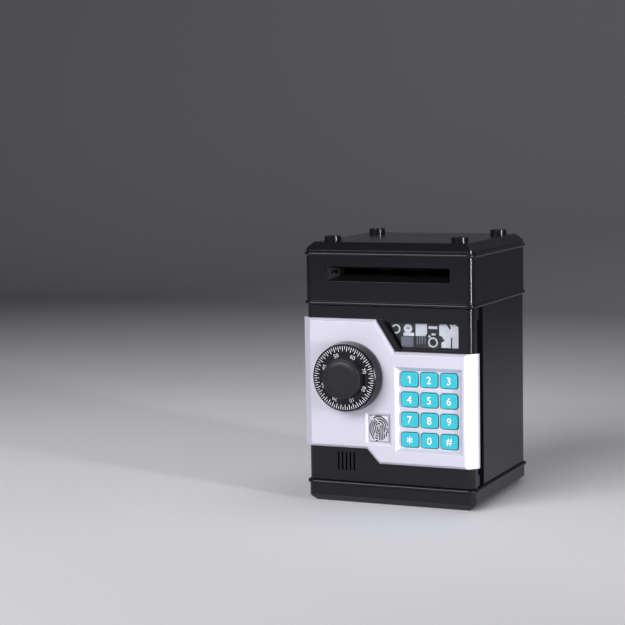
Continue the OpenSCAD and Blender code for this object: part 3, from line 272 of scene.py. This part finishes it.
def moulded_black(name, base=(19, 18, 23), rough=0.15, edge=0.45 * mm):
    """Glossy black plastic: slow colour drift, scuffed roughness and a shallow orange-peel bump."""
    made = Finish(name, Specular_IOR_Level=0.3)
    drift = made.noise(24.0, 3.0)
    scuffs = made.noise(900.0, 4.0, 0.6)
    smears = made.noise(60.0, 4.0, 0.65)
    made.set("Base Color", made.blend(drift, colour(*base), colour(*[c + black_drift_step for c in base])))
    made.set("Roughness", rough - 0.03 + smears * 0.07 + scuffs * 0.04)
    made.soft_edges(edge, made.noise(260.0, 2.0), black_peel_depth)
    return made


case_black = moulded_black("black_abs_gloss")
finish_nodes(case_black, "base_tray", "battery_cover", "vault_housing", "rear_panel", "head_housing",
             "top_cover", "top_studs", "door_shell")
inner_black = moulded_black("black_abs_matt", (20, 20, 22), 0.6, 0.2 * mm)
# The note slot's throat is near black, darker than its matt plastic: painted shade for the deep slot.
throat_painted_shade = moulded_black("throat_painted_shade", (6, 6, 7), 0.5)
finish_nodes(throat_painted_shade, "note_throat")
finish_nodes(inner_black, "vault_floor", "coin_chute", "door_back_cover", "speaker", "board_parts")


# ---- Front plate ----
# One silver-painted ABS moulding that stands proud of the door, with a bevel round it and wells
# for the keypad and the fingerprint button. The paint holds fine aluminium flake.
flake_size = 0.12 * mm
silver = Finish("silver_paint", Metallic=0.2, Specular_IOR_Level=0.3)
flake = silver.node("TexWhiteNoise", {"noise_dimensions": "3D"},
                    silver.node("VectorMath", {"operation": "SNAP"}, silver.place(), (flake_size,) * 3))
cloud = silver.noise(30.0, 3.0)
silver.set("Base Color", silver.blend(
    (cloud * 0.6 + flake * 0.4).limited(), colour(199, 198, 211), colour(215, 214, 227)))
silver.set("Roughness", 0.34 + cloud * 0.08 + flake * 0.05)
silver.soft_edges(0.5 * mm, silver.noise(700.0, 2.0), 0.01 * mm)
finish_nodes(silver, "door_plate")


# ---- Keys ----
# Twelve satin turquoise ABS caps with a flange behind the plate, a rounded rim and a slightly
# dished top; the digits are pad-printed in white.
key_names = ["key_1", "key_2", "key_3", "key_4", "key_5", "key_6", "key_7", "key_8", "key_9",
             "key_star", "key_0", "key_hash"]
key_marks = ["1", "2", "3", "4", "5", "6", "7", "8", "9", "*", "0", "#"]
key_mark_share = {"*": 1.45}
key_flange = 0.95 * mm
key_corner = 2.0 * mm
key_rim = 0.55 * mm
key_dish = 0.22 * mm
key_flange_depth = 1.0 * mm
key_mark_height = 5.3 * mm
key_mark_weight = 0.012
key_back_edge, key_back_chamfer = 0.25 * mm, 0.05 * mm
key_dish_insets = np.array([0.5, 1.6, 3.0, 4.2]) * mm
key_dish_shares = np.array([0.25, 0.7, 0.95, 1.0])
least_corner = 0.15 * mm
print_lift = 0.03 * mm


def rounded_ring(width, height, corner, steps):
    """Rounded rectangle: a corner's centre plus the corner radius times the direction."""
    turn = (np.arange(steps) + 0.5) * 2 * math.pi / steps
    width, height, corner = (np.asarray(v, float)[..., None] for v in (width, height, corner))
    x = np.sign(np.cos(turn)) * (width / 2 - corner) + corner * np.cos(turn)
    z = np.sign(np.sin(turn)) * (height / 2 - corner) + corner * np.sin(turn)
    return x, z


def stacked_pad(name, x, z, insets, depths, width, height, corner, steps=48):
    """Closed pad of rounded rectangles, each inset by insets and lying at Y = depths, back to front."""
    insets, depths = np.asarray(insets), np.asarray(depths)
    ring_x, ring_z = rounded_ring(width - 2 * insets, height - 2 * insets,
                                  np.clip(corner - insets, least_corner, None), steps)
    ring_y = np.broadcast_to(depths[:, None], ring_x.shape)
    points = np.stack([x + ring_x, ring_y, z + ring_z], -1)
    last = (len(insets) - 1) * steps
    faces = [quad[::-1] for quad in grid_faces(len(insets), steps, True)]
    faces.append(list(range(steps)))
    faces.append(list(range(last + steps - 1, last - 1, -1)))
    return make_mesh(name, points, faces)


def character_mesh(text, weight):
    """Mesh of a line of characters of size 1, and its points as an array."""
    curve = bpy.data.curves.new("characters", "FONT")
    curve.body, curve.offset = text, weight
    holder = bpy.data.objects.new("characters", curve)
    bpy.context.collection.objects.link(holder)
    flat = bpy.data.meshes.new_from_object(holder.evaluated_get(bpy.context.evaluated_depsgraph_get()))
    bpy.data.objects.remove(holder)
    points = np.zeros(len(flat.vertices) * 3)
    flat.vertices.foreach_get("co", points)
    return flat, points.reshape(-1, 3)


def flagged_one(tall):
    """A 1 of this height: an upright stem, and a slanting flag on the upper part of its left edge."""
    points = np.array([(0, 0, 0), (0.17, 0, 0), (0.17, 1, 0), (0, 1, 0), (0, 0.78, 0), (-0.22, 0.8, 0),
                       (-0.22, 0.64, 0)]) * tall
    flat = bpy.data.meshes.new("flagged_one")
    flat.from_pydata(points.tolist(), [], [(0, 1, 2, 3, 4), (4, 3, 5, 6)])
    return flat, points


def printed_mark(name, text, x, y, z, height, weight, turn=0.0, out=0.0):
    """Flat printed characters centred on a point of a face that looks along -Y, then moved outwards
    by out and turned clockwise about that point."""
    digit_height = np.ptp(character_mesh("0", weight)[1][:, 1])
    size = height / digit_height
    flat, points = flagged_one(digit_height) if text == "1" else character_mesh(text, weight)
    middle = (points.min(0) + points.max(0)) / 2
    across, up = ((points - middle) * size)[:, :2].T
    up = up + out
    placed = np.stack([x + across * math.cos(turn) + up * math.sin(turn), np.full(len(up), y),
                       z - across * math.sin(turn) + up * math.cos(turn)], -1)
    flat.vertices.foreach_set("co", placed.ravel())
    flat.update()
    made = bpy.data.objects.new(name, flat)
    bpy.context.collection.objects.link(made)
    return made


teal = Finish("turquoise_abs", Specular_IOR_Level=0.3)
teal_drift = teal.noise(90.0, 3.0)
teal.set("Base Color", teal.blend(teal_drift, colour(50, 180, 196), colour(60, 187, 202)))
teal.set("Roughness", 0.36 + teal.noise(700.0, 3.0) * 0.12)
teal.soft_edges(0.1 * mm, teal.noise(1500.0, 2.0), 0.006 * mm)
white_ink = Finish("white_pad_print", Roughness=0.5)
white_ink.set("Base Color", white_ink.blend(white_ink.noise(1800.0, 3.0), colour(236, 242, 246),
                                            colour(250, 252, 252)))
finish_nodes(teal, *key_names)
for name, mark in zip(key_names, key_marks):
    low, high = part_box(name)
    middle_x, middle_z = (low.x + high.x) / 2, (low.z + high.z) / 2
    cap_front, cap_back = low.y, high.y
    flange_front = cap_back - key_flange_depth
    rim = np.linspace(0, math.pi / 2, 6)
    insets = np.concatenate([[key_back_edge, 0, 0], [key_flange] * 2,
                             key_flange + key_rim * (1 - np.cos(rim))[1:],
                             key_flange + key_rim + key_dish_insets])
    depths = np.concatenate([[cap_back, cap_back - key_back_chamfer, flange_front],
                             [flange_front, cap_front + key_rim],
                             cap_front + key_rim * (1 - np.sin(rim))[1:],
                             cap_front + key_dish * key_dish_shares])
    cap = stacked_pad(name + "_cap", middle_x, middle_z, insets, depths, high.x - low.x,
                      high.z - low.z, key_corner + key_flange)
    smooth(paint(cap, teal), 50)
    body = "button_" + name[4:]
    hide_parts(name)
    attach(cap, body)
    digit = printed_mark(name + "_print", mark, middle_x, cap_front - print_lift, middle_z,
                         key_mark_height * key_mark_share.get(mark, 1.0), key_mark_weight)
    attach(paint(digit, white_ink), body)


# ---- Dial ----
# A black moulded ring with graduations and the numbers 10 to 80 stamped in white foil, and a knob
# with fine grip ribs on the same shaft.
dial_low, dial_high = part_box("dial_ring")
dial_x, dial_z = (dial_low.x + dial_high.x) / 2, (dial_low.z + dial_high.z) / 2
dial_face = dial_low.y
tick_count = 80
tick_outer = 22.5 * mm
tick_long, tick_short = 3.6 * mm, 2.1 * mm
tick_width = 0.42 * mm
number_radius = 16.4 * mm
number_height = 2.8 * mm
foil_thick = 0.07 * mm
first_tick = math.radians(25)
zero_at, degrees_per_number = 115, 4.5
knob_ribs = 72
steps_per_rib = 8
rib_depth = 0.22 * mm
knob_round = 0.9 * mm
# The side's heights, from the foot; its last is that far below the front.
knob_side = [0.0, 0.4, 0.9]
knob_side_short = 1.6
# The top from its round to its dished middle: how far in from the side, and below the front
knob_top_insets = np.array([1.6, 2.4, 2.8, 6.0, 10.0]) * mm
knob_top_drops = np.array([0.72, 0.72, 0.45, 0.5, 0.55]) * mm

finish_nodes(case_black, "dial_ring")
foil = Finish("white_foil", Roughness=0.38, Metallic=0.1)
foil.set("Base Color", foil.blend(foil.noise(1500.0, 3.0), colour(214, 216, 224), colour(238, 240, 244)))


def dial_ticks():
    """Radial bars: a rectangle from the inner to the outer radius, turned by each tick's angle."""
    turn = np.arange(tick_count) * 2 * math.pi / tick_count + first_tick
    length = np.where(np.arange(tick_count) % 2 == 0, tick_long, tick_short)
    along = np.stack([tick_outer - length, np.full(tick_count, tick_outer)], -1)[:, [0, 1, 1, 0]]
    across = np.array([-1, -1, 1, 1]) * tick_width / 2
    x = dial_x + along * np.sin(turn)[:, None] + across * np.cos(turn)[:, None]
    z = dial_z + along * np.cos(turn)[:, None] - across * np.sin(turn)[:, None]
    front = np.stack([x, np.full_like(x, dial_face - foil_thick), z], -1)
    return make_mesh("dial_ticks", front, np.arange(tick_count * 4).reshape(-1, 4).tolist())


ticks = paint(dial_ticks(), foil)
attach(ticks, "dial")
for value in range(10, 90, 10):
    turn = math.radians(zero_at + degrees_per_number * value)
    number = printed_mark("dial_number_%d" % value, str(value), dial_x, dial_face - foil_thick, dial_z,
                          number_height, 0.0, turn, number_radius)
    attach(paint(number, foil), "dial")


def ribbed_knob():
    """Lathe profile whose side radius swells and shrinks with the cosine of the turn."""
    low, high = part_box("dial_knob")
    radius, back, front = (high.x - low.x) / 2, high.y, low.y
    height = back - front
    edge = np.linspace(0, math.pi / 2, 6)
    side = np.array(knob_side + [height / mm - knob_side_short]) * mm
    profile_r = np.concatenate([np.full(4, radius), radius - knob_round * (1 - np.cos(edge))[1:],
                                radius - knob_top_insets])
    profile_y = np.concatenate([side, side[-1] + knob_round * np.sin(edge)[1:], height - knob_top_drops])
    ribbed = np.concatenate([[0, 0, 1, 1], np.cos(edge)[1:], np.zeros(5)])
    steps = knob_ribs * steps_per_rib
    turn = np.arange(steps) * 2 * math.pi / steps
    ribs = ribbed[:, None] * rib_depth * (0.5 - 0.5 * np.cos(knob_ribs * turn))
    r = profile_r[:, None] - ribs
    points = np.stack([dial_x + r * np.cos(turn), back - np.broadcast_to(profile_y[:, None], r.shape),
                       dial_z + r * np.sin(turn)], -1)
    faces = grid_faces(len(profile_r), steps, True)
    last = (len(profile_r) - 1) * steps
    faces.append(list(range(steps - 1, -1, -1)))
    faces.append(list(range(last, last + steps)))
    return make_mesh("dial_knob_ribbed", points, faces)


knob_black = moulded_black("black_abs_knob", (30, 29, 34), 0.36, 0.15 * mm)
knob = smooth(paint(ribbed_knob(), knob_black), 40)
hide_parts("dial_knob")
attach(knob, "dial")


# ---- Fingerprint button ----
# A silver-painted cap with a black printed whorl of ridges.
print_low, print_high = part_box("fingerprint_button")
print_x, print_z = (print_low.x + print_high.x) / 2, (print_low.z + print_high.z) / 2
pad_flange_depth = 0.9 * mm
pad_corner = 1.6 * mm
pad_back_chamfer = 0.05 * mm
pad_insets = np.array([0, 0, 0, 1.0, 1.0, 1.1, 1.3, 3.0]) * mm
pad_edge_drops = (0.3 * mm, 0.1 * mm)
pad_w, pad_h = print_high.x - print_low.x, print_high.z - print_low.z
ridge_count = 5
ridge_pitch_x = 1.32 * mm
ridge_pitch_z = 1.72 * mm
ridge_share = 0.6
print_wide = 6.8 * mm
print_tall = 9.0 * mm
# A ridge's radius is its number and this share of a pitch; its arch ends after this turn.
core_share = 0.12
arch_end = 1.46 * math.pi
foot_tall, foot_wide = 0.94 * print_tall, 1.06 * print_wide
wave_height, wave_length = 0.14 * mm, 1.3 * mm
# Breaks: a ridge is cut after these lengths, by a gap of this size, further along on each ridge.
break_step, break_more, break_gap, break_shift = 11, 2.5, 0.55 * mm, 2.3 * mm
end_share, end_length = 0.35, 0.5 * mm
ridge_lift = 0.04 * mm

flange_front = print_high.y - pad_flange_depth
pad = stacked_pad("fingerprint_cap", print_x, print_z, pad_insets,
                  np.array([print_high.y, print_high.y - pad_back_chamfer, flange_front, flange_front,
                            print_low.y + pad_edge_drops[0], print_low.y + pad_edge_drops[1],
                            print_low.y, print_low.y]), pad_w, pad_h, pad_corner)
smooth(paint(pad, silver), 40)
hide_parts("fingerprint_button")
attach(pad, "print_button")


def whorl_ridges():
    """Flat ribbons of a loop print. Ridge k rises on the right, crosses over the core on a half
    ellipse of k pitches and follows the ellipse round the left to the foot of the print."""
    leg_turn = np.linspace(0, 1, 30)
    arch_turn = np.linspace(0, arch_end, 90)[1:]
    points, faces = [], []
    for k in range(ridge_count + 1):
        reach_x, reach_z = (k + core_share) * ridge_pitch_x, (k + core_share) * ridge_pitch_z
        foot = foot_tall * math.sqrt(max(0.05, 1 - (reach_x / foot_wide) ** 2))
        middle_x = np.concatenate([np.full(len(leg_turn), reach_x), reach_x * np.cos(arch_turn)])
        middle_z = np.concatenate([foot * (leg_turn - 1), reach_z * np.sin(arch_turn)])
        middle_x = middle_x + wave_height * np.sin(middle_z / wave_length + k)
        along_x, along_z = np.gradient(middle_x), np.gradient(middle_z)
        length = np.hypot(along_x, along_z) + 1e-9
        out_x, out_z = along_z / length, -along_x / length
        half = 0.5 * ridge_share * np.hypot(out_x * ridge_pitch_x, out_z * ridge_pitch_z)
        path = np.cumsum(length)
        keep = np.mod(path + break_shift * k, (break_step + break_more * (k % 3)) * mm) > break_gap
        edges = np.flatnonzero(np.diff(np.concatenate([[0], keep.astype(int), [0]])))
        for first, last in zip(edges[::2], edges[1::2]):
            if last - first < 5:
                continue
            part = slice(first, last)
            ends = np.minimum(path[part] - path[first], path[last - 1] - path[part])
            width = half[part] * np.clip(end_share + ends / end_length, 0, 1)
            ribbon = np.stack([np.stack([middle_x[part] + side * width * out_x[part],
                                         middle_z[part] + side * width * out_z[part]], -1)
                               for side in (-1, 1)])
            start = sum(p.shape[0] * p.shape[1] for p in points)
            face_y = np.full(ribbon.shape[:2], print_low.y - ridge_lift)
            points.append(np.stack([print_x + ribbon[..., 0], face_y, print_z + ribbon[..., 1]], -1))
            faces += grid_faces(2, ribbon.shape[1], start=start)
    return make_mesh("fingerprint_ridges", np.concatenate([p.reshape(-1, 3) for p in points]), faces)


black_ink = Finish("black_pad_print", Roughness=0.42)
black_ink.set("Base Color", black_ink.blend(black_ink.noise(1500.0, 3.0), colour(14, 14, 17),
                                            colour(26, 26, 30)))
ridges = paint(whorl_ridges(), black_ink)
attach(ridges, "print_button")


# ---- Window ----
# Clear acrylic over a vacuum-metallised plate whose relief shows a stylised lock works.
lens = Finish("clear_acrylic", Transmission_Weight=1.0, IOR=1.3)
lens.set("Base Color", lens.blend(lens.noise(40.0), (0.94, 0.96, 0.98, 1), (0.98, 0.99, 1.0, 1)))
lens.set("Roughness", 0.01 + lens.noise(300.0, 3.0) * 0.02)
finish_nodes(lens, "window_lens", "note_sensor")
insert_thick = 1.0 * mm
high_step, low_step = 0.6 * mm, 0.1 * mm
insert_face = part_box("mechanism_insert")[1].y - insert_thick
relief = Finish("metallised_relief", Specular_IOR_Level=0.5)
relief_y = relief.axes()[1]
raised = relief_y < insert_face - high_step
half_raised = relief_y < insert_face - low_step
relief_grain = relief.noise(160.0, 3.0)
shadow = relief.blend(half_raised, colour(6, 6, 9), colour(118, 119, 132))
relief.set("Base Color", relief.blend(raised, shadow, relief.blend(
    relief_grain, colour(226, 226, 240), colour(252, 252, 255))))
relief.set("Metallic", raised * 0.3)
relief.set("Roughness", 0.3 + relief_grain * 0.15)
relief.soft_edges(0.15 * mm)
finish_nodes(relief, "mechanism_insert")


# ---- Metal parts ----
# Zinc-plated screws, pins, shafts, bolt, solenoid, motor can and battery contacts.
rolled_along, rolled_across = 200, 2500
steel_dull_step = 22


def plated_steel(name, base=(176, 178, 182), rough=0.28):
    """Plated steel with fine rolling marks and a little dulling."""
    made = Finish(name, Metallic=1.0)
    x, y, z = made.axes()
    lines = made.noise(1.0, 2.0, 0.5, made.node("CombineXYZ", {}, x * rolled_along,
                                             y * rolled_across, z * rolled_across))
    dull = made.noise(120.0, 4.0, 0.6)
    made.set("Base Color", made.blend(dull, colour(*base), colour(*[c + steel_dull_step for c in base])))
    made.set("Roughness", rough - 0.06 + lines * 0.1 + dull * 0.1)
    made.soft_edges(0.12 * mm, lines, 0.004 * mm)
    return made


steel = plated_steel("zinc_plated_steel")
finish_nodes(steel, "battery_contacts", "hinge_pins", "case_screws", "rear_screws", "door_screws",
             "drive_shaft", "pressure_shaft", "dial_shaft", "latch_bolt", "solenoid_pin", "feed_motor")
dark_steel = plated_steel("dark_plated_steel", (120, 122, 128), 0.36)
finish_nodes(dark_steel, "lock_solenoid")
brass = plated_steel("machined_brass", (205, 168, 92), 0.26)
finish_nodes(brass, "motor_pinion")


# ---- Feeder ----
# A black frame and upper guide, natural nylon gears, and rubber rollers with a ground surface.
nylon = Finish("natural_nylon", Subsurface_Weight=0.08, Subsurface_Scale=0.6 * mm)
nylon_cloud = nylon.noise(110.0, 3.0)
nylon.set("Base Color", nylon.blend(nylon_cloud, colour(214, 210, 198), colour(230, 227, 217)))
nylon.set("Roughness", 0.42 + nylon_cloud * 0.12)
nylon.soft_edges(0.15 * mm, nylon.noise(900.0, 2.0), 0.008 * mm)
finish_nodes(inner_black, "feeder_frame", "feeder_top_guide")
finish_nodes(nylon, "idler_gear", "drive_gear", "pressure_rollers", "latch_pinion")
rubber = Finish("ground_rubber", Specular_IOR_Level=0.3)
rubber_grain = rubber.noise(2500.0, 3.0)
rubber.set("Base Color", rubber.blend(rubber_grain, colour(34, 34, 35), colour(52, 52, 53)))
rubber.set("Roughness", 0.72 + rubber_grain * 0.15)
rubber.soft_edges(0.2 * mm, rubber_grain, 0.02 * mm)
finish_nodes(rubber, "feed_rollers", "keypad_mat")


# ---- Boards and batteries ----
# Green lacquered boards with copper tracks under the lacquer, and zinc-carbon cells in printed jackets.
board = Finish("lacquered_board", Coat_Weight=0.4, Coat_Roughness=0.15)
tracks = board.node("TexBrick", {"offset": 0.37}, board.place(), None, None, None, 260.0, 0.06, 0.1)
fine = board.noise(800.0, 3.0)
brick_mask = Shade(board, tracks.socket.node.outputs["Fac"])
board.set("Base Color", board.blend(brick_mask, board.blend(fine, colour(22, 92, 52), colour(30, 104, 60)),
                                    colour(64, 132, 76)))
board.set("Roughness", 0.34 + fine * 0.1)
board.soft_edges(0.1 * mm, brick_mask, 0.02 * mm)
finish_nodes(board, "main_board", "keypad_board")
band_from = 17 * mm
jacket = Finish("battery_jacket", Coat_Weight=0.3, Coat_Roughness=0.1)
band = (jacket.axes()[0].abs() > band_from).limited()
jacket.set("Base Color", jacket.blend(band, colour(38, 40, 46), jacket.blend(
    jacket.noise(200.0), colour(176, 128, 62), colour(196, 146, 78))))
jacket.set("Metallic", band * 0.7)
jacket.set("Roughness", 0.3 + jacket.noise(600.0, 3.0) * 0.1)
jacket.soft_edges(0.4 * mm)
finish_nodes(jacket, "batteries")
